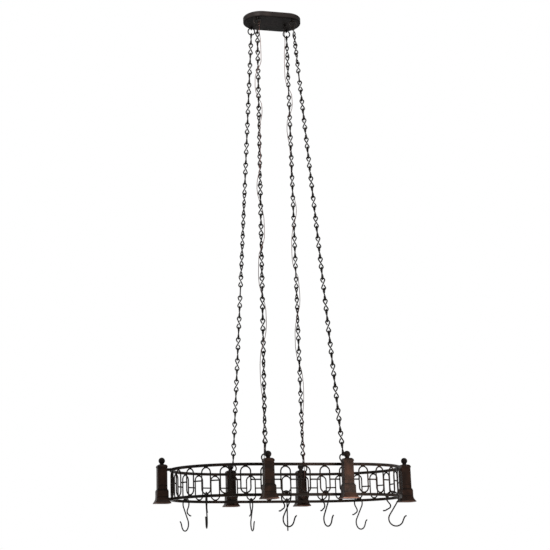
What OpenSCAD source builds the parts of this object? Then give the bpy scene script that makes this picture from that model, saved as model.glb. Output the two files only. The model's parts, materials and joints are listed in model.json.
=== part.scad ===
// Hanging pot rack: an oval ring of two square-bar hoops filled with tall rod loops, six cast
// posts around it, four chains of S-shaped links up to an oval ceiling canopy, and eight hooks.
// Millimetres. The origin is the middle of the canopy's back, on the ceiling, and +Z is up.
// The near side faces -Y, the left end faces -X.

/* [Hoops] */
// Length of the straight part of each side of a hoop, along the bar's centreline
hoop_straight = 424; // [380:4:560]
// Radius of the round ends of a hoop, to the bar's centreline
hoop_r = 305; // [260:5:360]
// Width and height of the square bar of the hoops
hoop_bar = 12; // [10:0.5:14]
// Chamfer along the edges of the hoop bar
hoop_edge = 1; // [0.5:0.25:1.5]
// Height between the centrelines of the two hoops
hoop_rise = 127; // [110:1:150]
// Height of the lower hoop's centreline over the undersides of the feet
hoop_lift = 20; // [16:1:26]

/* [Loops] */
// Number of tall rod loops around the ring
loop_count = 32; // [30:2:34]
// Diameter of the rod of the loops and of the tie bars
rod_d = 6; // [4.5:0.25:7]
// Outer width of one loop
loop_w = 48; // [40:1:56]
// Depth that a welded rod end sinks into what it is welded to
weld_sink = 1; // [0.5:0.25:1.5]
// Number of loop spaces from the middle of a long side to each side post
post_spaces = 2; // [1:1:2]

/* [Posts] */
// Distance from a hoop's centreline out to the axis of a post
post_offset = 46; // [44:1:56]
// Width of the foot's bottom edge
foot_w = 70; // [64:1:75]
// Height of the upright edge under the flare
foot_edge_h = 4; // [2:0.5:6]
// Height of the flared foot
flare_h = 28.6; // [24:0.2:32]
// Width of the plinth over the flare
plinth_w = 51; // [49:0.5:54]
// Height of the plinth's narrower top step
plinth_step_h = 5; // [3:0.5:8]
// How much the plinth's top step is set in on each side
plinth_step = 1.8; // [1:0.2:2.4]
// Height of the whole base, foot and plinth
base_h = 60; // [54:1:66]
// Width of the shaft at its bottom
shaft_w = 42; // [40:0.5:44]
// Width of the shaft at its top
shaft_top_w = 41.5; // [38:0.5:43]
// Height of the shaft
shaft_h = 95; // [88:1:102]
// Wall of the shaft and of the hollow base
post_wall = 3.5; // [2.5:0.5:5]
// Width of the cap's square edge
cap_w = 45; // [44:0.5:48]
// Height of the cap's square edge
cap_edge_h = 4; // [3:0.5:6]
// Height of the cap's dome over its edge
cap_dome_h = 10; // [8:0.5:13]
// Diameter of the ball on top
ball_d = 29; // [25:0.5:32]
// Diameter of the neck under the ball
neck_d = 18; // [15:0.5:19]
// Diameter of the collar that carries the neck
collar_d = 21; // [20:0.5:25]
// Height of the collar and neck together, from the cap to the ball's lowest point
neck_h = 1.5; // [1:0.5:5]
// Diameter of the threaded rod that holds a post together
tie_rod_d = 6; // [5:0.5:8]
// Width over the flats of the nut under each base
foot_nut_af = 10; // [9:0.5:13]
// Thickness of the nut under each base
foot_nut_h = 5; // [4:0.5:6]
// Play around a tenon, a thread or a lead bushing
fit_play = 0.1; // [0.05:0.05:0.2]

/* [Chains] */
// Number of links in each chain
link_count = 42; // [30:2:46]
// Pitch of the chain, from link to link
link_pitch = 50; // [46:1:54]
// Outer width of a link
link_w = 24; // [22:0.5:26]
// Diameter of the wire of links, rings, staples and hooks
wire_d = 6; // [4.8:0.2:6.2]
// Gap between two wires that hang in each other
wire_play = 0.3; // [0.2:0.05:0.4]
// Gap between a loop's rod and the arch of the hook that hangs from it
hook_play = 0.35; // [0.3:0.05:0.5]
// Gap between the end of a link's wire and its crossing strand
tail_gap = 0.6; // [0.4:0.1:1]
// Outer diameter of the loose rings at both ends of a chain
ring_d = 39; // [37:0.5:41]

/* [Canopy] */
// Length of the canopy
canopy_l = 284; // [270:2:320]
// Width of the canopy
canopy_w = 164; // [156:2:190]
// Height of the canopy
canopy_h = 26; // [22:1:32]
// Thickness of the canopy's rim
canopy_wall = 2.5; // [2:0.25:3]
// Thickness of the canopy's face
canopy_face = 3; // [2.5:0.5:4]
// Radius of the canopy's rounded lower edge
canopy_round = 6; // [3:0.5:8]
// Distance of a chain's top anchor from the middle, along the canopy
anchor_x = 89; // [84:1:94]
// Distance of a chain's top anchor from the middle, across the canopy
anchor_y = 57; // [50:1:58]
// Depth of an anchor staple's wire under the canopy's face
anchor_drop = 10.5; // [10:0.5:13]
// Height of a rack staple's wire over the top face of the upper hoop
staple_rise = 10.9; // [10.3:0.3:14]
// Length of a rack staple's legs on the sides of the upper hoop
staple_grip = 7; // [5:0.5:9]
// Width over the flats of the nuts on the canopy's staples
staple_nut_af = 10; // [9:0.5:11]
// Thickness of those nuts
staple_nut_h = 5; // [4:0.5:6]

/* [Ceiling bar] */
// Length of the crossbar that is screwed to the ceiling
bar_l = 230; // [222:2:240]
// Width of the crossbar
bar_w = 30; // [28:1:40]
// Thickness of the crossbar
bar_t = 4; // [3:0.5:6]
// Spacing of the two holes for screws into a joist or plugs
joist_span = 200; // [180:5:205]
// Diameter of those holes
joist_hole_d = 7; // [5:0.5:9]
// Spacing of the two holes that suit a round ceiling box
box_span = 88.9; // [80:0.1:96]
// Diameter of those holes
box_hole_d = 5; // [4:0.5:5.5]
// Diameter of the crossbar's middle hole
cable_hole_d = 22; // [16:1:24]
// Radius of the bend of the hangers under the canopy, to the wire's middle
hanger_r = 7.9; // [7.5:0.1:8.4]
// Distance of each canopy stud from the middle
stud_x = 65; // [60:1:75]
// Diameter of the canopy studs
stud_d = 6; // [5:0.5:8]
// Diameter of the domed nuts on those studs
cap_nut_d = 13; // [11:0.5:15]

/* [Hooks] */
// Radius of a hook's upper arch, to the wire's middle
arch_r = 26.5; // [24:0.5:30]
// Radius of a hook's lower bend, to the wire's middle
bowl_r = 31; // [26:0.5:34]
// Length of a hook's straight stem
stem_l = 70; // [55:1:80]
// Lean at which an empty hook comes to rest, so that its weight is under the rod
hook_lean = 2.8; // [0:0.1:5]

/* [Leads] */
// Diameter of the two thin leads along chains
lead_d = 3; // [2.4:0.1:3.4]
// Bore of the bushings in the canopy
canopy_bush_bore = 11; // [10.5:0.5:13]
// Bore of the bushings in the posts
post_bush_bore = 7.5; // [7:0.5:9]
// Wall of a bushing
bush_wall = 1.5; // [1:0.25:2]
// Height of a post's lead bushing over the underside of its foot
bush_lift = 125; // [118:1:128]

/* [Hidden] */
$fn = 48;
CHAINS = ["far_left", "near_left", "far_right", "near_right"];
POSTS = ["left", "near_left", "near_right", "right", "far_right", "far_left"];
BAYS = ["left_near", "near", "right_near", "right_far", "far", "left_far"];

// Each hook hangs in the loop of this number, turned this many degrees away from straight out
HOOKS = [[3, 25], [7, 32], [9, 15], [13, 25], [19, -20], [23, -16], [25, -27], [29, -22]];
// How each chain has turned round itself on its way down: [link, degrees], in the order of CHAINS
chain_turns = [
    [[14, 0], [17, 45], [23, 45], [26, 90]],
    [
        [9, 0], [11, 45], [15, 45], [17, 0], [21, 0], [23, 45], [25, 45], [27, 90], [32, 90],
        [34, 135], [38, 135], [40, 90]
    ],
    [
        [0, 0], [2, 45], [4, 45], [6, 90], [22, 90], [24, 45], [27, 45], [29, 0], [37, 0], [41, 90]
    ],
    [[0, 20], [2, 45], [4, 45], [6, 90]]
];

// How much thinner straight wire is than bent wire, and how far it reaches into the bends
wire_step = 0.1;
wire_sink = 0.5;

// The ring
hoop_path = 2 * hoop_straight + 2 * PI * hoop_r;
loop_pitch = hoop_path / loop_count;
post_x = post_spaces * loop_pitch;
side_loops = 2 * post_spaces;
end_loops = (loop_count - 2 * side_loops) / 4;
loop_h = hoop_rise - hoop_bar + 0.1;
bend_r = (loop_w - rod_d) / 2;
hoop_z = [hoop_lift, hoop_lift + hoop_rise];

// The chains: distances along the line from a canopy anchor to a rack staple
ring_r = (ring_d - wire_d) / 2;
hang = wire_d + wire_play;
link_l = link_pitch + hang;
eye_r = (link_w - wire_d) / 2;
eye_span = link_l - 2 * eye_r;
cross_angle = asin(2 * eye_r / eye_span);
strand = sqrt(pow(eye_span / 2, 2) - pow(eye_r, 2));
tail_start = (wire_d * (1 + cos(2 * cross_angle)) / 2 + tail_gap) / sin(2 * cross_angle);
chain_span = 4 * ring_r - 3 * hang + link_count * link_pitch;
anchor_z = -canopy_h - anchor_drop;
chain_dx = post_x - anchor_x;
chain_dy = hoop_r - anchor_y;
staple_z = anchor_z - sqrt(pow(chain_span, 2) - pow(chain_dx, 2) - pow(chain_dy, 2));
rack_z = staple_z - staple_rise - hoop_bar / 2 - hoop_z[1];
staple_r = (hoop_bar + wire_d) / 2 - wire_step;

// Loops are counted from the left end, along the near side to the right end and back along the
// far side. Gives a loop's distance along the hoop past the middle of the near side
function path_at(k) = k * loop_pitch - hoop_path / 4;
// A point on the hoop's centreline and the outward direction there, from that distance
function wrapped(s) = s > 3 * hoop_path / 4 ? s - hoop_path : s;
function on_hoop(s) =
    s <= -hoop_straight / 2 ? round_end(-1, s + hoop_straight / 2, -90) :
    s <= hoop_straight / 2 ? [s, -hoop_r, -90] :
    s <= hoop_straight / 2 + PI * hoop_r ? round_end(1, s - hoop_straight / 2, -90) :
    s <= 3 * hoop_straight / 2 + PI * hoop_r ? [hoop_straight + PI * hoop_r - s, hoop_r, 90] :
    round_end(-1, s - 3 * hoop_straight / 2 - PI * hoop_r, 90);
function round_end(side, arc, from) =
    let (a = from + arc / hoop_r * 180 / PI)
    [side * hoop_straight / 2 + hoop_r * cos(a), hoop_r * sin(a), a];

// Places of the posts, in the order of POSTS
post_loops = [
    0, end_loops, end_loops + side_loops,
    2 * end_loops + side_loops, 3 * end_loops + side_loops, 3 * end_loops + 2 * side_loops
];
function post_place(i) = on_hoop(path_at(post_loops[i]));

// The post's profiles: widths against heights over the underside of the foot
flare_r = (pow((foot_w - plinth_w) / 2, 2) + pow(flare_h - foot_edge_h, 2)) / (foot_w - plinth_w);
shaft_top = base_h + shaft_h;
cap_top = shaft_top + cap_edge_h + cap_dome_h;
ball_z = cap_top + neck_h + ball_d / 2;
tenon_in = post_offset - shaft_top_w / 2 + post_wall;

// Corners of the rack and of the canopy, as signs of X and Y, in the order of CHAINS
corners = [[-1, 1], [-1, -1], [1, 1], [1, -1]];

// Route of each lead: [distance down the chain, angle round it, distance from its middle].
// The angle is 0 towards +X and 90 towards +Y on the near left chain, and both are mirrored on
// the far right one
lead_route = [
    [60, 40, 16], [110, 10, 15.5], [170, -5, 15.5], [230, -25, 15.5], [275, -95, 15],
    [315, -170, 15.5], [365, -195, 15.5], [410, -265, 15], [450, -340, 15.5], [500, -380, 15.5],
    [560, -440, 15], [640, -455, 15], [730, -450, 15], [810, -470, 15], [865, -530, 15.5],
    [920, -590, 15], [980, -665, 15], [1040, -710, 15.5], [1110, -725, 15.5], [1165, -785, 15],
    [1220, -870, 15.5], [1300, -900, 15.5], [1360, -950, 15], [1420, -1020, 15],
    [1480, -1075, 15.5], [1550, -1095, 15.5], [1610, -1150, 15], [1670, -1225, 15],
    [1730, -1265, 15.5], [1800, -1290, 15], [1880, -1340, 15], [1960, -1350, 15],
    [2040, -1350, 15.5]
];
// The lead's ends: [outwards along X, outwards along Y, height], the first from the canopy's
// anchor and the height from the ceiling, the second from the rack's staple and the foot
lead_top = [[-14, -14, -14], [-14, -14, -30], [-13, -14, -48]];
lead_foot = [
    [0, -19.5, 188], [0, -18, 171], [0, -16.5, 155], [0, -15, 143], [0, -11.5, 132], [0, -5, 126.5],
    [0, 3, 125]
];

iron = "#2b2422";
bronze = "#4a352c";
brown = "#5a4038";

// ---- wire bent in a plane ----

// Wire that starts at the origin along +Y in the XY plane. Each move is [radius, angle], left
// turns positive, or [0, length] for a straight run. Straight runs are a touch thinner and
// reach into the bends
module bent_wire(d, moves, tip = false, i = 0) {
    if (i < len(moves)) {
        r = moves[i][0];
        a = moves[i][1];
        side = a < 0 ? -1 : 1;
        into = i < len(moves) - 1 ? wire_sink : 0;
        if (r == 0) {
            translate([0, -wire_sink, 0]) rotate([-90, 0, 0])
                cylinder(d = d - wire_step, h = a + wire_sink + into);
            translate([0, a, 0]) bent_wire(d, moves, tip, i + 1);
        } else {
            translate([-side * r, 0, 0]) rotate([0, 0, a < 0 ? 180 + a : 0])
                rotate_extrude(angle = abs(a)) translate([r, 0]) circle(d = d);
            translate([-side * r, 0, 0]) rotate([0, 0, a]) translate([side * r, 0, 0])
                bent_wire(d, moves, tip, i + 1);
        }
    } else if (tip) {
        sphere(d = d);
    }
}

// ---- chains ----

// One S-shaped link, upright in the XZ plane: a slanting strand whose ends turn into two round
// eyes, each with a short tail that stops at the strand
module link() {
    half = [[eye_r, 180 + 2 * cross_angle], [0, strand - tail_start]];
    rotate([90, 0, 0]) rotate([0, 0, -cross_angle]) {
        translate([0, -strand - wire_sink, 0]) rotate([-90, 0, 0])
            cylinder(d = wire_d - wire_step, h = 2 * (strand + wire_sink));
        for (end = [0, 180])
            rotate([0, 0, end]) translate([0, strand, 0]) bent_wire(wire_d, half);
    }
}

// The line from the canopy's anchor to the rack's staple at a corner: -Z runs down it
module on_chain(corner, along) {
    tilt = asin(corner[1] * chain_dy / chain_span);
    lean = atan2(-corner[0] * chain_dx, anchor_z - staple_z);
    translate([corner[0] * anchor_x, corner[1] * anchor_y, anchor_z])
        rotate([tilt, lean, 0]) translate([0, 0, -along]) children();
}

module chain(i) {
    color(iron)
        for (n = [0:link_count - 1])
            on_chain(corners[i], 2 * ring_r - 2 * hang + link_l / 2 + n * link_pitch)
                rotate([0, 0, 90 + 90 * n + lookup(n, chain_turns[i])]) link();
}

module wire_ring(r) {
    rotate([90, 0, 0]) rotate_extrude() translate([r, 0]) circle(d = wire_d);
}

module canopy_ring(i) {
    color(iron) on_chain(corners[i], ring_r - hang) wire_ring(ring_r);
}

module rack_ring(i) {
    color(iron) on_chain(corners[i], chain_span + hang - ring_r) wire_ring(ring_r);
}

// ---- canopy ----

// Sweeps a 2D profile, drawn as distance outwards against height, round a stadium
module stadium(straight) {
    for (end = [0, 180])
        rotate([0, 0, end]) translate([straight / 2, 0, 0])
            rotate([0, 0, -90]) rotate_extrude(angle = 180) children();
    for (side = [0, 180])
        rotate([0, 0, side]) translate([-straight / 2, 0, 0])
            rotate([90, 0, 90]) linear_extrude(straight) children();
}

module canopy_profile() {
    half = canopy_w / 2;
    difference() {
        union() {
            translate([0, -canopy_h]) square([half - canopy_round, canopy_h]);
            translate([0, canopy_round - canopy_h]) square([half, canopy_h - canopy_round]);
            translate([half - canopy_round, canopy_round - canopy_h]) circle(canopy_round);
        }
        translate([-1, canopy_face - canopy_h])
            square([half - canopy_wall + 1 - canopy_round / 3, canopy_h]);
        translate([0, canopy_round - canopy_h]) square([half - canopy_wall, canopy_h]);
    }
}

module canopy_shell() {
    color(bronze)
        difference() {
            stadium(canopy_l - canopy_w) canopy_profile();
            for (c = corners) {
                translate([c[0] * anchor_x, c[1] * anchor_y, 0]) {
                    for (side = [-1, 1])
                        translate([0, side * hanger_r, -canopy_h - 1])
                            cylinder(d = wire_d + 2 * fit_play, h = canopy_face + 2);
                }
            }
            for (side = [-1, 1])
                translate([side * stud_x, 0, -canopy_h - 1])
                    cylinder(d = stud_d + 4 * fit_play, h = canopy_face + 2);
            for (side = [-1, 1])
                translate([side * (anchor_x + lead_top[0][0]), side * (anchor_y + lead_top[0][1]),
                        -canopy_h - 1])
                    cylinder(d = canopy_bush_bore + 2 * bush_wall + 2 * fit_play,
                        h = canopy_face + 2);
        }
}

// A bushing along +Z whose flange lies under z = 0 and whose tube reaches up by the wall height
module bushing(bore, wall_h) {
    difference() {
        union() {
            translate([0, 0, -bush_wall]) cylinder(d = bore + 5 * bush_wall, h = bush_wall);
            cylinder(d = bore + 2 * bush_wall, h = wall_h + 1);
        }
        translate([0, 0, -bush_wall - 1]) cylinder(d = bore, h = wall_h + bush_wall + 3);
    }
}

module canopy_bushings() {
    color("#1c1c1c")
        for (side = [-1, 1])
            translate([side * (anchor_x + lead_top[0][0]), side * (anchor_y + lead_top[0][1]),
                    -canopy_h])
                bushing(canopy_bush_bore, canopy_face);
}

// Upside-down U of wire in the YZ plane, its top at z = 0, with one leg at +Y and the other at -Y
module staple(r, leg, other_leg) {
    rotate([90, 0, 90]) translate([r, -r - leg, 0])
        bent_wire(wire_d, [[0, leg], [r, 180], [0, other_leg]]);
}

module canopy_staples() {
    leg = anchor_drop - hanger_r + canopy_face + staple_nut_h + 1.5;
    color(iron)
        for (c = corners)
            translate([c[0] * anchor_x, c[1] * anchor_y, anchor_z])
                mirror([0, 0, 1]) staple(hanger_r, leg, leg);
}

module hex_nut(af, h, bore) {
    difference() {
        cylinder(d = af / cos(30), h = h, $fn = 6);
        translate([0, 0, -1]) cylinder(d = bore, h = h + 2);
    }
}

module staple_nuts() {
    color("#8a8a86")
        for (c = corners)
            for (side = [-1, 1])
                translate([c[0] * anchor_x, c[1] * anchor_y + side * hanger_r,
                        canopy_face - canopy_h])
                    hex_nut(staple_nut_af, staple_nut_h, wire_d);
}

module crossbar() {
    color("#9a9a96")
        difference() {
            translate([-bar_l / 2, -bar_w / 2, -bar_t]) cube([bar_l, bar_w, bar_t]);
            for (side = [-1, 1]) {
                translate([side * joist_span / 2, 0, -bar_t - 1])
                    cylinder(d = joist_hole_d, h = bar_t + 2);
                translate([side * box_span / 2, 0, -bar_t - 1])
                    cylinder(d = box_hole_d, h = bar_t + 2);
                translate([side * stud_x, 0, -bar_t - 1]) cylinder(d = stud_d, h = bar_t + 2);
            }
            translate([0, 0, -bar_t - 1]) cylinder(d = cable_hole_d, h = bar_t + 2);
        }
}

module crossbar_studs() {
    color("#9a9a96")
        for (side = [-1, 1])
            translate([side * stud_x, 0, -canopy_h - 5]) cylinder(d = stud_d, h = canopy_h + 5);
}

// A domed nut that hangs under z = 0, with a blind hole for its stud
module cap_nut() {
    rim = 2;
    difference() {
        union() {
            translate([0, 0, -rim]) cylinder(d = cap_nut_d, h = rim);
            translate([0, 0, -5]) cylinder(d = cap_nut_d - 3, h = 5);
            translate([0, 0, -5]) sphere(d = cap_nut_d - 3);
        }
        translate([0, 0, -5]) cylinder(d = stud_d, h = 6);
    }
}

module cap_nuts() {
    color(bronze)
        for (side = [-1, 1])
            translate([side * stud_x, 0, -canopy_h]) cap_nut();
}

// ---- ring ----

module at_rack(z = 0) {
    translate([0, 0, rack_z + z]) children();
}

module hoop() {
    h = hoop_bar / 2;
    c = hoop_edge;
    stadium(hoop_straight) translate([hoop_r, 0])
        polygon([[-h, c - h], [c - h, -h], [h - c, -h], [h, c - h],
            [h, h - c], [h - c, h], [c - h, h], [-h, h - c]]);
}

module top_hoop() {
    color(iron) at_rack(hoop_z[1]) hoop();
}

module bottom_hoop() {
    color(iron) at_rack(hoop_z[0]) hoop();
}

// Places a child at a loop's middle, its +X along the hoop's outward direction
module at_loop(k) {
    p = on_hoop(wrapped(path_at(k)));
    at_rack(hoop_lift + hoop_rise / 2) translate([p[0], p[1], 0]) rotate([0, 0, p[2]]) children();
}

// A tall loop of rod, upright in the YZ plane
module rod_loop() {
    leg = loop_h - 2 * bend_r - rod_d;
    rotate([90, 0, 90]) translate([bend_r, -leg / 2, 0])
        bent_wire(rod_d, [[0, leg], [bend_r, 180], [0, leg], [bend_r, 180]]);
}

module loops(from, to) {
    color(iron) for (k = [from:to]) at_loop(k) rod_loop();
}

module bay(i) {
    last = i == len(post_loops) - 1 ? loop_count : post_loops[i + 1];
    loops(post_loops[i] + 1, last - 1);
}

module loops_at_posts() {
    for (k = post_loops) loops(k, k);
}

// Middle of a loop's leg, on the side towards the next loop or the one before
function leg_place(k, side) =
    let (p = on_hoop(wrapped(path_at(k))))
    [p[0] - side * bend_r * sin(p[2]), p[1] + side * bend_r * cos(p[2])];

module tie_bars() {
    color(iron)
        for (k = [0:loop_count - 1]) {
            a = leg_place(k, 1);
            b = leg_place(k + 1 < loop_count ? k + 1 : 0, -1);
            gap = norm(b - a);
            at_rack(hoop_lift + hoop_rise / 2) translate([a[0], a[1], 0])
                rotate([0, 0, atan2(b[1] - a[1], b[0] - a[0])])
                    translate([rod_d / 2 - weld_sink, 0, 0]) rotate([0, 90, 0])
                        cylinder(d = rod_d, h = gap - rod_d + 2 * weld_sink);
        }
}

// Each staple straddles the upper hoop. Its outer leg stands on the tenon and its inner leg
// reaches down the side of the bar
module rack_staples() {
    outer = staple_rise - staple_r;
    color(iron)
        for (c = corners)
            translate([c[0] * post_x, c[1] * hoop_r, staple_z])
                rotate([0, 0, c[1] * 90 + 90])
                    staple(staple_r, outer + staple_grip, outer);
}

// ---- posts ----

// Places a child on a post's axis, at the underside of its foot, its +X outwards
module at_post(i) {
    p = post_place(i);
    at_rack() translate([p[0], p[1], 0]) rotate([0, 0, p[2]]) translate([post_offset, 0, 0])
        children();
}

// A square solid with mitred corners: the same outline from the front and from the side
module mitred() {
    intersection() {
        rotate([90, 0, 0]) linear_extrude(2 * foot_w, center = true) children();
        rotate([90, 0, 90]) linear_extrude(2 * foot_w, center = true) children();
    }
}

module base_outline() {
    step_w = plinth_w - 2 * plinth_step;
    difference() {
        translate([-foot_w / 2, 0]) square([foot_w, flare_h]);
        for (side = [-1, 1])
            translate([side * (plinth_w / 2 + flare_r), flare_h]) circle(flare_r, $fn = 180);
    }
    translate([-plinth_w / 2, flare_h - 1])
        square([plinth_w, base_h - plinth_step_h - flare_h + 1]);
    translate([-step_w / 2, base_h - plinth_step_h - 1]) square([step_w, plinth_step_h + 1]);
}

// The two tenons that reach from the hoops into a post, their play added on every side
module tenons(play) {
    w = hoop_bar + 2 * play;
    for (z = hoop_z)
        translate([hoop_bar / 2 - weld_sink - post_offset, -w / 2, z - w / 2])
            cube([tenon_in - hoop_bar / 2 + weld_sink, w, w]);
}

module post_base(i) {
    hollow = plinth_w - 2 * plinth_step - 2 * post_wall;
    color(brown)
        at_post(i) difference() {
            mitred() base_outline();
            translate([-hollow / 2, -hollow / 2, -1]) cube([hollow, hollow, base_h - post_wall + 1]);
            translate([0, 0, -1]) cylinder(d = tie_rod_d + 2 * fit_play, h = base_h + 2);
            tenons(fit_play);
        }
}

module post_shaft(i) {
    hollow = shaft_top_w - 2 * post_wall;
    bush_d = post_bush_bore + 2 * bush_wall + 2 * fit_play;
    color(brown)
        at_post(i) difference() {
            mitred() polygon([[-shaft_w / 2, base_h], [shaft_w / 2, base_h],
                [shaft_top_w / 2, shaft_top], [-shaft_top_w / 2, shaft_top]]);
            translate([-hollow / 2, -hollow / 2, base_h - 1]) cube([hollow, hollow, shaft_h + 2]);
            tenons(fit_play);
            if (i == 1 || i == 4)
                translate([-shaft_w, 0, bush_lift]) rotate([0, 90, 0])
                    cylinder(d = bush_d, h = shaft_w);
        }
}

module cap_outline() {
    r = (pow((cap_w - collar_d) / 2, 2) + pow(cap_dome_h, 2)) / (2 * cap_dome_h);
    translate([-cap_w / 2, shaft_top]) square([cap_w, cap_edge_h]);
    intersection() {
        translate([-cap_w / 2, shaft_top + cap_edge_h - 1]) square([cap_w, cap_dome_h + 1]);
        union() {
            translate([-collar_d / 2, shaft_top]) square([collar_d, cap_edge_h + cap_dome_h]);
            for (side = [-1, 1])
                translate([side * collar_d / 2, shaft_top + cap_edge_h + cap_dome_h - r])
                    circle(r, $fn = 96);
        }
    }
}

module post_caps() {
    color(brown)
        for (i = [0:len(POSTS) - 1])
            at_post(i) difference() {
                mitred() cap_outline();
                cylinder(d = tie_rod_d + 2 * fit_play, h = cap_top + 1);
            }
}

module post_finials() {
    neck_in = (collar_d - neck_d) / 2;
    color(brown)
        for (i = [0:len(POSTS) - 1])
            at_post(i) difference() {
                union() {
                    translate([0, 0, cap_top]) cylinder(d = collar_d, h = neck_h / 2);
                    translate([0, 0, cap_top]) cylinder(d = neck_d, h = neck_h + ball_d / 4);
                    translate([0, 0, cap_top + neck_h / 2])
                        cylinder(d1 = collar_d - neck_in, d2 = neck_d, h = neck_h / 2);
                    translate([0, 0, ball_z]) sphere(d = ball_d);
                }
                translate([0, 0, cap_top - 1])
                    cylinder(d = tie_rod_d, h = neck_h + ball_d / 2 + 1);
            }
}

module post_tie_rods() {
    bottom = base_h - post_wall - foot_nut_h - 3;
    color("#8a8a86")
        for (i = [0:len(POSTS) - 1])
            at_post(i) translate([0, 0, bottom])
                cylinder(d = tie_rod_d, h = cap_top + neck_h + ball_d / 2 - 2 - bottom);
}

module foot_nuts() {
    color("#8a8a86")
        for (i = [0:len(POSTS) - 1])
            at_post(i) translate([0, 0, base_h - post_wall - foot_nut_h])
                hex_nut(foot_nut_af, foot_nut_h, tie_rod_d);
}

module post_tenons() {
    color(iron) for (i = [0:len(POSTS) - 1]) at_post(i) tenons(0);
}

module post_bushings() {
    flange_r = (post_bush_bore + 5 * bush_wall) / 2;
    taper = (shaft_w - shaft_top_w) / 2 * (bush_lift - flange_r - base_h) / shaft_h;
    color("#1c1c1c")
        for (i = [1, 4])
            at_post(i) translate([taper - shaft_w / 2, 0, bush_lift]) rotate([0, 90, 0])
                bushing(post_bush_bore, post_wall);
}

// ---- hooks ----

// A hook that hangs from a rod along Y through the origin, its open bend towards +X. The bends
// are listed from the two ends of its upper arch
arch_turn = [120, 130];
bowl_moves = [[0, stem_l], [bowl_r, 190], [0, 16], [15, -30], [0, 5]];
tail_moves = [[0, 14], [12, -100], [0, 18], [12, -25], [0, 4]];

module hook() {
    arch = [[arch_r, arch_turn[0] + arch_turn[1]]];
    rotate([90, 0, 0]) rotate([0, 0, -hook_lean])
        translate([0, rod_d / 2 + hook_play + wire_d / 2 - arch_r, 0])
        rotate([0, 0, 90 - arch_turn[0]]) translate([arch_r, 0, 0]) {
            bent_wire(wire_d, concat(arch, tail_moves), true);
            rotate([0, 0, 180]) bent_wire(wire_d, bowl_moves, true);
        }
}

module pot_hook(i) {
    color("#1f1c1b")
        at_loop(HOOKS[i][0]) translate([0, 0, (rod_d - loop_h) / 2])
            rotate([0, 0, HOOKS[i][1]]) hook();
}

// ---- leads ----

// A lead's points in the world: its top end, its route along a chain and its foot end
function chain_point(c, q) =
    let (
        down = [c[0] * chain_dx, c[1] * chain_dy, staple_z - anchor_z] / chain_span,
        side = cross([0, 1, 0], -down) / norm(cross([0, 1, 0], -down)),
        front = cross(-down, side),
        start = [c[0] * anchor_x, c[1] * anchor_y, anchor_z]
    )
    start + down * q[0] - c[0] * side * q[2] * cos(q[1]) - c[1] * front * q[2] * sin(q[1]);
function lead_points(c) = concat(
    [for (q = lead_top) [c[0] * (anchor_x + q[0]), c[1] * (anchor_y + q[1]), q[2]]],
    [
        for (i = [0:len(lead_route) - 2])
            for (part = [0, 0.5])
                chain_point(c, (1 - part) * lead_route[i] + part * lead_route[i + 1])
    ],
    [chain_point(c, lead_route[len(lead_route) - 1])],
    [for (q = lead_foot) [c[0] * (post_x + q[0]), c[1] * (hoop_r + q[1]), rack_z + q[2]]],
    [[c[0] * post_x, c[1] * (hoop_r + post_offset - shaft_w / 2 + post_wall + 3), rack_z + 125]]
);

// A tube with flat ends along a list of points
function ring_at(points, n, i, d) =
    let (
        last = len(points) - 1,
        way = points[min(i + 1, last)] - points[max(i - 1, 0)],
        t = way / norm(way),
        u = cross(t, [1, 0, 0]) / norm(cross(t, [1, 0, 0])),
        v = cross(t, u)
    )
    [for (a = [0:n - 1]) points[i] + d / 2 * (u * cos(360 * a / n) + v * sin(360 * a / n))];

module tube(points, d, sides) {
    rings = len(points);
    skin = [
        for (i = [0:rings - 2])
            for (a = [0:sides - 1])
                let (b = (a + 1) % sides)
                each [
                    [i * sides + a, i * sides + b, (i + 1) * sides + b],
                    [i * sides + a, (i + 1) * sides + b, (i + 1) * sides + a]
                ]
    ];
    polyhedron(
        [for (i = [0:rings - 1]) each ring_at(points, sides, i, d)],
        concat(
            skin,
            [[for (a = [sides - 1:-1:0]) a], [for (a = [0:sides - 1]) (rings - 1) * sides + a]]
        )
    );
}

module lead(corner) {
    color("#4a2f28") tube(lead_points(corner), lead_d, 8);
}

crossbar();
crossbar_studs();
cap_nuts();
canopy_shell();
canopy_staples();
staple_nuts();
canopy_bushings();
canopy_ring(0);  // canopy_ring_far_left
canopy_ring(1);  // canopy_ring_near_left
canopy_ring(2);  // canopy_ring_far_right
canopy_ring(3);  // canopy_ring_near_right
chain(0);  // chain_far_left
chain(1);  // chain_near_left
chain(2);  // chain_far_right
chain(3);  // chain_near_right
rack_ring(0);  // rack_ring_far_left
rack_ring(1);  // rack_ring_near_left
rack_ring(2);  // rack_ring_far_right
rack_ring(3);  // rack_ring_near_right
lead(corners[1]);  // lead_near_left
lead(corners[2]);  // lead_far_right
rack_staples();
top_hoop();
bottom_hoop();
bay(0);  // loops_left_near
bay(1);  // loops_near
bay(2);  // loops_right_near
bay(3);  // loops_right_far
bay(4);  // loops_far
bay(5);  // loops_left_far
loops_at_posts();
tie_bars();
post_tenons();
post_base(0);  // post_base_left
post_base(1);  // post_base_near_left
post_base(2);  // post_base_near_right
post_base(3);  // post_base_right
post_base(4);  // post_base_far_right
post_base(5);  // post_base_far_left
post_shaft(0);  // post_shaft_left
post_shaft(1);  // post_shaft_near_left
post_shaft(2);  // post_shaft_near_right
post_shaft(3);  // post_shaft_right
post_shaft(4);  // post_shaft_far_right
post_shaft(5);  // post_shaft_far_left
post_caps();
post_finials();
post_tie_rods();
foot_nuts();
post_bushings();
pot_hook(0);  // pot_hook_1
pot_hook(1);  // pot_hook_2
pot_hook(2);  // pot_hook_3
pot_hook(3);  // pot_hook_4
pot_hook(4);  // pot_hook_5
pot_hook(5);  // pot_hook_6
pot_hook(6);  // pot_hook_7
pot_hook(7);  // pot_hook_8
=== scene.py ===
"""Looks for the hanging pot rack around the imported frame: materials, weld beads, lights, camera."""

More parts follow.
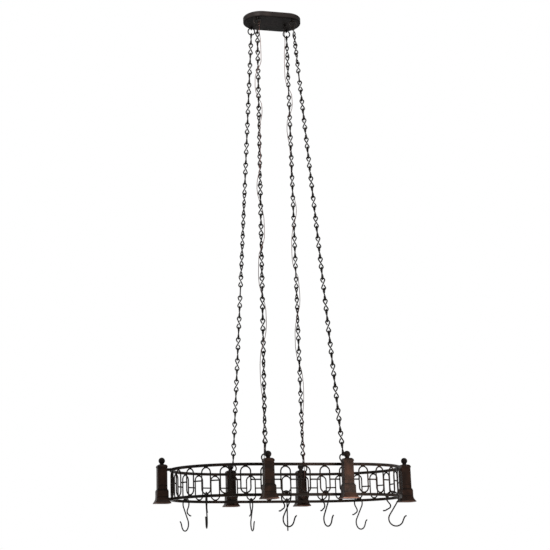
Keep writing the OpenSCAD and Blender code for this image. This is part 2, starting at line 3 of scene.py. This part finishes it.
import json
import math

import bpy
from mathutils import Matrix, Vector, noise


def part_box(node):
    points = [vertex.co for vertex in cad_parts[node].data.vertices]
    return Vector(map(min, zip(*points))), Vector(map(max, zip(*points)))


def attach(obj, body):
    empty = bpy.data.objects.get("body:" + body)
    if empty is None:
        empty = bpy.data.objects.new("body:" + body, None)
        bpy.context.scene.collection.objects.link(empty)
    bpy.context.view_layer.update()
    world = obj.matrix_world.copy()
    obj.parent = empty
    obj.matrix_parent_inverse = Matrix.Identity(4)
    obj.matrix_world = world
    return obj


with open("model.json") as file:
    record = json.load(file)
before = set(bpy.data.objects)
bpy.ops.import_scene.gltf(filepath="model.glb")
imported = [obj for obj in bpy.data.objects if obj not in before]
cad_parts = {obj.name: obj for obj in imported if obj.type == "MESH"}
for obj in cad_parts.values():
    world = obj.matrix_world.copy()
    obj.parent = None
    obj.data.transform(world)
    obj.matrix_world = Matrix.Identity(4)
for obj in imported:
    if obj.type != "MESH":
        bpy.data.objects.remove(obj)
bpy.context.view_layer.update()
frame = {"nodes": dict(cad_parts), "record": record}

# ---------------------------------------------------------------- sizes, in metres

STRAIGHT = 0.424
R = 0.305
BAR = 0.012
RISE = 0.127
LIFT = 0.020
LOOPS = 32
POST_LOOPS = (0, 6, 10, 16, 22, 26)
ROD = 0.006
BEND = 0.021
WIRE = 0.006
STAPLE = (BAR + WIRE) / 2 - 0.0001
PATH = 2 * STRAIGHT + 2 * math.pi * R
PITCH = PATH / LOOPS
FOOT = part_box("post_base_left")[0][2]
MIDDLE = FOOT + LIFT + RISE / 2


def on_hoop(s):
    """Point on the hoops' centreline, s metres along from the middle of the near side, and the
    outward direction there."""
    s = (s + PATH / 2) % PATH - PATH / 2
    side = 1 if s >= 0 else -1
    s = abs(s)
    if s <= STRAIGHT / 2:
        x, y, a = s, -R, -math.pi / 2
    elif s <= STRAIGHT / 2 + math.pi * R:
        a = (s - STRAIGHT / 2) / R - math.pi / 2
        x, y = STRAIGHT / 2 + R * math.cos(a), R * math.sin(a)
    else:
        x, y, a = STRAIGHT + math.pi * R - s, R, math.pi / 2
    return Vector((side * x, y, 0)), Vector((side * math.cos(a), math.sin(a), 0))


def loop_place(k):
    """Middle of loop k, its outward and its sideways direction."""
    p, out = on_hoop(k * PITCH - PATH / 4)
    return Vector((p.x, p.y, MIDDLE)), out, Vector((-out.y, out.x, 0))


# ---------------------------------------------------------------- materials

# Painted highlight along the bottom edge of a post's foot; near-black for the ball, also used as
# painted shade in the creases of the mouldings
FOOT_EDGE_HIGHLIGHT = (0.25, 0.142, 0.110)
BALL_BLACK_AND_CREASE_SHADE = (0.0045, 0.0036, 0.0032)
POST_SPAN = 0.2
# Along a post: height over the underside of its foot, share of darkening (the black ball at the top,
# and painted shade in the creases of the mouldings), share of painted highlight along the bottom edge
# of the foot
POST_ZONES = [
    (0.0, 0, 1), (0.0032, 0, 1), (0.0050, 0, 0),
    (0.0260, 0, 0), (0.0276, 0.8, 0), (0.0294, 0.8, 0), (0.0310, 0, 0),
    (0.0524, 0, 0), (0.0542, 0.8, 0), (0.0556, 0.4, 0),
    (0.0584, 0.5, 0), (0.0598, 1, 0), (0.0616, 1, 0), (0.0634, 0, 0),
    (0.0758, 0, 0), (0.0771, 0.6, 0), (0.0785, 0.6, 0), (0.0798, 0, 0),
    (0.1640, 0, 0), (0.1700, 0.85, 0), (POST_SPAN, 0.85, 0),
]


def paint(name, base, rubbed, edge, rough, patch, grain, dent, wear, post=False, sheen=0.06):
    """Dark metal paint: base colour with lighter rubbed patches, worn edges and a fine grain. On a
    post its ball is darker, painted shade darkens the creases of its mouldings, and a painted
    highlight lies along the bottom edge of its foot."""
    m = bpy.data.materials.new(name)
    m.use_nodes = True
    nt = m.node_tree
    bsdf = nt.nodes["Principled BSDF"]
    bsdf.inputs["Metallic"].default_value = 0.0
    bsdf.inputs["Specular IOR Level"].default_value = sheen
    coord = nt.nodes.new("ShaderNodeTexCoord")

    def tex(scale, detail, rough_in):
        n = nt.nodes.new("ShaderNodeTexNoise")
        n.inputs["Scale"].default_value = scale
        n.inputs["Detail"].default_value = detail
        n.inputs["Roughness"].default_value = rough_in
        nt.links.new(coord.outputs["Object"], n.inputs["Vector"])
        return n.outputs["Fac"]

    def ramp(value, low, high):
        n = nt.nodes.new("ShaderNodeMapRange")
        n.inputs["From Min"].default_value = low
        n.inputs["From Max"].default_value = high
        nt.links.new(value, n.inputs["Value"])
        return n.outputs["Result"]

    def times(a, b):
        n = nt.nodes.new("ShaderNodeMath")
        n.operation = "MULTIPLY"
        n.use_clamp = True
        nt.links.new(a, n.inputs[0])
        if isinstance(b, float):
            n.inputs[1].default_value = b
        else:
            nt.links.new(b, n.inputs[1])
        return n.outputs[0]

    def mix(fac, a, b):
        n = nt.nodes.new("ShaderNodeMix")
        n.data_type = "RGBA"
        nt.links.new(fac, n.inputs["Factor"])
        for sock, c in ((n.inputs["A"], a), (n.inputs["B"], b)):
            if isinstance(c, tuple):
                sock.default_value = (*c, 1)
            else:
                nt.links.new(c, sock)
        return n.outputs["Result"]

    coarse = ramp(tex(patch, 5, 0.6), 0.45, 0.75)
    fine = ramp(tex(grain, 4, 0.7), 0.4, 0.75)
    colour = mix(times(coarse, 0.75), base, rubbed)
    bevel = nt.nodes.new("ShaderNodeBevel")
    bevel.samples = 4
    bevel.inputs["Radius"].default_value = 0.0016
    geo = nt.nodes.new("ShaderNodeNewGeometry")
    dot = nt.nodes.new("ShaderNodeVectorMath")
    dot.operation = "DOT_PRODUCT"
    nt.links.new(bevel.outputs[0], dot.inputs[0])
    nt.links.new(geo.outputs["Normal"], dot.inputs[1])
    worn = ramp(dot.outputs["Value"], 0.985, 0.88)
    colour = mix(times(times(worn, fine), wear), colour, edge)
    if post:
        xyz = nt.nodes.new("ShaderNodeSeparateXYZ")
        nt.links.new(coord.outputs["Object"], xyz.inputs[0])
        zones = nt.nodes.new("ShaderNodeValToRGB")
        stops = zones.color_ramp.elements
        for stop, (z, dark, highlight_share) in zip(stops, (POST_ZONES[0], POST_ZONES[-1])):
            stop.color = (dark, highlight_share, 0, 1)
        for z, dark, highlight_share in POST_ZONES[1:-1]:
            stops.new(z / POST_SPAN).color = (dark, highlight_share, 0, 1)
        nt.links.new(ramp(xyz.outputs["Z"], FOOT, FOOT + POST_SPAN), zones.inputs["Fac"])
        split = nt.nodes.new("ShaderNodeSeparateColor")
        nt.links.new(zones.outputs["Color"], split.inputs[0])
        # Painted shade: dark bands in the creases of the mouldings, plus the real black of the ball
        colour = mix(split.outputs["Red"], colour, BALL_BLACK_AND_CREASE_SHADE)
        # Painted highlight: patchy warm reddish brown along the bottom edge of the foot
        patchy_highlight = times(split.outputs["Green"], ramp(tex(9, 3, 0.6), 0.35, 0.6))
        colour = mix(times(patchy_highlight, 0.9), colour, FOOT_EDGE_HIGHLIGHT)
    nt.links.new(colour, bsdf.inputs["Base Color"])
    r = nt.nodes.new("ShaderNodeMapRange")
    r.inputs["To Min"].default_value = rough - 0.1
    r.inputs["To Max"].default_value = rough + 0.14
    nt.links.new(fine, r.inputs["Value"])
    nt.links.new(r.outputs["Result"], bsdf.inputs["Roughness"])
    bump = nt.nodes.new("ShaderNodeBump")
    bump.inputs["Strength"].default_value = dent
    bump.inputs["Distance"].default_value = 0.0006
    nt.links.new(fine, bump.inputs["Height"])
    nt.links.new(bump.outputs["Normal"], bsdf.inputs["Normal"])
    return m


IRON = paint(
    "iron_paint", (0.0085, 0.0066, 0.0052), (0.0380, 0.0230, 0.0165), (0.090, 0.054, 0.040),
    rough=0.5, patch=14, grain=260, dent=0.25, wear=0.6)
CHAIN = paint(
    "chain_paint", (0.0085, 0.0070, 0.0060), (0.0190, 0.0145, 0.0120), (0.060, 0.046, 0.038),
    rough=0.42, patch=40, grain=420, dent=0.2, wear=0.5)
HOOK = paint(
    "hook_paint", (0.0075, 0.0065, 0.0060), (0.0150, 0.0125, 0.0110), (0.050, 0.042, 0.036),
    rough=0.38, patch=60, grain=500, dent=0.12, wear=0.4)
POST = paint(
    "post_paint", (0.0150, 0.0095, 0.0074), (0.0680, 0.0345, 0.0235), (0.150, 0.085, 0.062),
    rough=0.52, patch=16, grain=190, dent=0.45, wear=0.75, post=True)
CANOPY = paint(
    "canopy_paint", (0.0135, 0.0116, 0.0108), (0.0400, 0.0310, 0.0280), (0.160, 0.120, 0.104),
    rough=0.55, patch=14, grain=240, dent=0.3, wear=0.8, sheen=0.035)


def zinc():
    """Bare zinc plating with a fine spangle."""
    m = bpy.data.materials.new("zinc_plate")
    m.use_nodes = True
    nt = m.node_tree
    bsdf = nt.nodes["Principled BSDF"]
    bsdf.inputs["Metallic"].default_value = 1.0
    coord = nt.nodes.new("ShaderNodeTexCoord")
    v = nt.nodes.new("ShaderNodeTexVoronoi")
    v.inputs["Scale"].default_value = 320
    nt.links.new(coord.outputs["Object"], v.inputs["Vector"])
    n = nt.nodes.new("ShaderNodeTexNoise")
    n.inputs["Scale"].default_value = 120
    n.inputs["Detail"].default_value = 4
    nt.links.new(coord.outputs["Object"], n.inputs["Vector"])
    c = nt.nodes.new("ShaderNodeValToRGB")
    c.color_ramp.elements[0].color = (0.34, 0.34, 0.32, 1)
    c.color_ramp.elements[1].color = (0.62, 0.61, 0.57, 1)
    nt.links.new(v.outputs["Distance"], c.inputs["Fac"])
    nt.links.new(c.outputs["Color"], bsdf.inputs["Base Color"])
    r = nt.nodes.new("ShaderNodeMapRange")
    r.inputs["To Min"].default_value = 0.28
    r.inputs["To Max"].default_value = 0.5
    nt.links.new(n.outputs["Fac"], r.inputs["Value"])
    nt.links.new(r.outputs["Result"], bsdf.inputs["Roughness"])
    return m


def insulation(name, low, high, rough, scale):
    """Rubber or plastic whose colour drifts between low and high, with a fine grain."""
    m = bpy.data.materials.new(name)
    m.use_nodes = True
    nt = m.node_tree
    bsdf = nt.nodes["Principled BSDF"]
    bsdf.inputs["Specular IOR Level"].default_value = 0.3
    coord = nt.nodes.new("ShaderNodeTexCoord")
    n = nt.nodes.new("ShaderNodeTexNoise")
    n.inputs["Scale"].default_value = scale
    n.inputs["Detail"].default_value = 3
    nt.links.new(coord.outputs["Object"], n.inputs["Vector"])
    c = nt.nodes.new("ShaderNodeValToRGB")
    c.color_ramp.elements[0].position = 0.35
    c.color_ramp.elements[1].position = 0.7
    c.color_ramp.elements[0].color = (*low, 1)
    c.color_ramp.elements[1].color = (*high, 1)
    nt.links.new(n.outputs["Fac"], c.inputs["Fac"])
    nt.links.new(c.outputs["Color"], bsdf.inputs["Base Color"])
    bsdf.inputs["Roughness"].default_value = rough
    b = nt.nodes.new("ShaderNodeBump")
    b.inputs["Strength"].default_value = 0.3
    b.inputs["Distance"].default_value = 0.0003
    w = nt.nodes.new("ShaderNodeTexNoise")
    w.inputs["Scale"].default_value = scale * 30
    nt.links.new(coord.outputs["Object"], w.inputs["Vector"])
    nt.links.new(w.outputs["Fac"], b.inputs["Height"])
    nt.links.new(b.outputs["Normal"], bsdf.inputs["Normal"])
    return m


ZINC = zinc()
LEAD = insulation("lead_insulation", (0.040, 0.016, 0.012), (0.145, 0.062, 0.048), 0.45, 7)
GROMMET = insulation("grommet_rubber", (0.010, 0.010, 0.010), (0.020, 0.019, 0.018), 0.7, 90)

SLOTS = {
    "iron": IRON, "chain_iron": CHAIN, "hook_iron": HOOK, "post_bronze": POST,
    "canopy_bronze": CANOPY, "zinc": ZINC, "lead_brown": LEAD, "bushing_black": GROMMET,
}
for part in frame["record"]["subparts"]:
    ob = frame["nodes"][part["node"]]
    ob.data.materials.clear()
    ob.data.materials.append(SLOTS[part["material_slot"]])

# ---------------------------------------------------------------- weld beads


def add_mesh(name, verts, faces, material, body):
    """A smooth mesh of weld beads that rides on a body."""
    me = bpy.data.meshes.new(name)
    me.from_pydata([tuple(v) for v in verts], [], faces)
    me.materials.append(material)
    for p in me.polygons:
        p.use_smooth = True
    ob = bpy.data.objects.new(name, me)
    bpy.context.scene.collection.objects.link(ob)
    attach(ob, body)


def collar(verts, faces, centre, axis, radius, tube, seed):
    """An uneven ring of weld round a rod."""
    u = axis.orthogonal().normalized()
    v = axis.cross(u)
    n, m = 14, 6
    start = len(verts)
    for i in range(n):
        a = 2 * math.pi * i / n
        d = u * math.cos(a) + v * math.sin(a)
        t = tube * (1 + 0.45 * noise.noise(Vector((3 * math.cos(a), 3 * math.sin(a), seed * 1.7))))
        for j in range(m):
            b = 2 * math.pi * j / m
            around = d * (radius + t * math.cos(b))
            verts.append(centre + around + axis * (t * 1.1 * math.sin(b)))
    for i in range(n):
        for j in range(m):
            i2, j2 = (i + 1) % n, (j + 1) % m
            here, there = start + i * m, start + i2 * m
            faces.append((here + j, there + j, there + j2, here + j2))


def blob(verts, faces, centre, x, y, z, seed):
    """A small lump of weld with half-lengths along three directions."""
    rings, n = 5, 10
    start = len(verts)
    verts.append(centre + z)
    for i in range(1, rings):
        th = math.pi * i / rings
        for j in range(n):
            a = 2 * math.pi * j / n
            w = Vector((math.sin(th) * math.cos(a), math.sin(th) * math.sin(a), math.cos(th)))
            k = 1 + 0.35 * noise.noise(w * 1.8 + Vector((seed * 2.3, 0, 0)))
            verts.append(centre + (x * w.x + y * w.y + z * w.z) * k)
    verts.append(centre - z)
    last = len(verts) - 1
    for j in range(n):
        j2 = (j + 1) % n
        faces.append((start, start + 1 + j, start + 1 + j2))
        faces.append((last, last - n + j2, last - n + j))
        for i in range(rings - 2):
            a = start + 1 + i * n
            faces.append((a + j, a + n + j, a + n + j2, a + j2))


up = Vector((0, 0, 1))

# A bead at both ends of each tie bar
verts, faces = [], []
for k in range(LOOPS):
    p, _, side = loop_place(k)
    q, _, side2 = loop_place(k + 1)
    a, b = p + side * BEND, q - side2 * BEND
    way = (b - a).normalized()
    collar(verts, faces, a + way * (ROD / 2 + 0.0002), way, ROD / 2, 0.0009, k)
    collar(verts, faces, b - way * (ROD / 2 + 0.0002), way, ROD / 2, 0.0009, k + 50)
add_mesh("tie_bar_welds", verts, faces, IRON, "rack")

# Two lumps where each loop meets a hoop
verts, faces = [], []
for k in range(LOOPS):
    p, out, side = loop_place(k)
    for end in (-1, 1):
        for way in (-1, 1):
            at = 0.0058 + 0.0006 * noise.noise(Vector((k, end, way)) * 3.1)
            c = p + up * end * (RISE / 2 - BAR / 2 - 0.0009) + side * way * at
            blob(verts, faces, c, side * 0.0042, out * 0.0025, up * 0.0017, 7 * k + 3 * end + way)
add_mesh("loop_welds", verts, faces, IRON, "rack")

# Two creases at the inner leg of each staple and a bead round its outer leg
verts, faces = [], []
top = FOOT + LIFT + RISE
for sx in (-1, 1):
    for sy in (-1, 1):
        c = Vector((sx * 2 * PITCH, sy * R, top))
        for way in (-1, 1):
            at = c + Vector((way * 0.0032, -sy * (BAR / 2 + 0.0012), 0.0005))
            wide, deep = Vector((0.0015, 0, 0)), Vector((0, 0.0014, 0))
            blob(verts, faces, at, wide, deep, up * 0.0040, sx * 5 + sy * 3 + way)
        at = c + Vector((0, sy * STAPLE, BAR / 2 + 0.0004))
        collar(verts, faces, at, up, WIRE / 2, 0.0012, 60 + sx + 3 * sy)
add_mesh("staple_welds", verts, faces, IRON, "rack")

# Four lumps round each tenon, where it leaves its hoop
verts, faces = [], []
for n_post, k in enumerate(POST_LOOPS):
    p, out, side = loop_place(k)
    for z in (LIFT, LIFT + RISE):
        for s, axis in ((side, up), (up, side)):
            for way in (-1, 1):
                c = Vector((p.x, p.y, FOOT + z)) + out * (BAR / 2 + 0.0006)
                c += s * way * (BAR / 2 + 0.0002)
                blob(verts, faces, c, axis * 0.0052, s * 0.0012, out * 0.0012, n_post * 9 + way)
add_mesh("tenon_welds", verts, faces, IRON, "rack")

# ---------------------------------------------------------------- world, lights and camera

scene = bpy.context.scene
scene.view_settings.view_transform = "Standard"
world = bpy.data.worlds.new("world")
scene.world = world
world.use_nodes = True
nt = world.node_tree
nt.nodes.clear()
path = nt.nodes.new("ShaderNodeLightPath")
# Camera, glossy and transmission rays see white, and all other rays a plain level
seen = nt.nodes.new("ShaderNodeMath")
seen.operation = "MAXIMUM"
seen2 = nt.nodes.new("ShaderNodeMath")
seen2.operation = "MAXIMUM"
nt.links.new(path.outputs["Is Camera Ray"], seen.inputs[0])
nt.links.new(path.outputs["Is Glossy Ray"], seen.inputs[1])
nt.links.new(seen.outputs[0], seen2.inputs[0])
nt.links.new(path.outputs["Is Transmission Ray"], seen2.inputs[1])
white = nt.nodes.new("ShaderNodeBackground")
white.inputs["Color"].default_value = (1, 1, 1, 1)
white.inputs["Strength"].default_value = 1.0
plain = nt.nodes.new("ShaderNodeBackground")
plain.inputs["Color"].default_value = (0.96, 0.97, 1, 1)
plain.inputs["Strength"].default_value = 0.19
pick = nt.nodes.new("ShaderNodeMixShader")
out_node = nt.nodes.new("ShaderNodeOutputWorld")
nt.links.new(seen2.outputs[0], pick.inputs[0])
nt.links.new(plain.outputs[0], pick.inputs[1])
nt.links.new(white.outputs[0], pick.inputs[2])
nt.links.new(pick.outputs[0], out_node.inputs["Surface"])


def area(name, at, to, size, power, colour):
    """A rectangular lamp at one point, turned towards another."""
    light = bpy.data.lights.new(name, "AREA")
    light.shape = "RECTANGLE"
    light.size, light.size_y = size
    light.energy = power
    light.color = colour
    ob = bpy.data.objects.new(name, light)
    ob.location = at
    ob.rotation_euler = (Vector(to) - Vector(at)).to_track_quat("-Z", "Y").to_euler()
    ob.visible_camera = False
    scene.collection.objects.link(ob)


area("top_light", at=(0.9, -1.6, 1.3), to=(0, 0, -1.0),
     size=(2.4, 1.6), power=20, colour=(1.0, 0.95, 0.92))
area("front_light", at=(0.36, -0.80, -2.36), to=(0.17, -0.35, -2.24),
     size=(0.3, 0.3), power=5.0, colour=(1.0, 0.84, 0.74))
area("left_light", at=(-2.8, -1.2, -1.0), to=(0, 0, -1.6),
     size=(1.2, 2.2), power=0.6, colour=(0.94, 0.97, 1.0))
area("canopy_light", at=(-0.75, -1.2, 0.5), to=(0, -0.05, -0.01),
     size=(0.4, 0.4), power=45, colour=(1.0, 0.96, 0.94))

# The camera looks up along the long side from the left. Its shift stands for the crop of the picture
YAW, PITCH_UP, ROLL = 0.20895, 0.23361, -0.01643
flat = math.cos(PITCH_UP)
forward = Vector((math.sin(YAW) * flat, math.cos(YAW) * flat, math.sin(PITCH_UP)))
right = Vector((math.cos(YAW), -math.sin(YAW), 0))
upward = right.cross(forward)
cam_right = right * math.cos(ROLL) + upward * math.sin(ROLL)
cam_up = upward * math.cos(ROLL) - right * math.sin(ROLL)
cam = bpy.data.cameras.new("camera")
cam.lens = 78.77
cam.shift_x = 0.1273
cam.sensor_width = 36
cam_ob = bpy.data.objects.new("camera", cam)
place = Matrix((cam_right, cam_up, -forward)).transposed().to_4x4()
place.translation = Vector((-1.4699, -5.2573, FOOT - 0.2476))
cam_ob.matrix_world = place
scene.collection.objects.link(cam_ob)
scene.camera = cam_ob

bpy.context.view_layer.update()
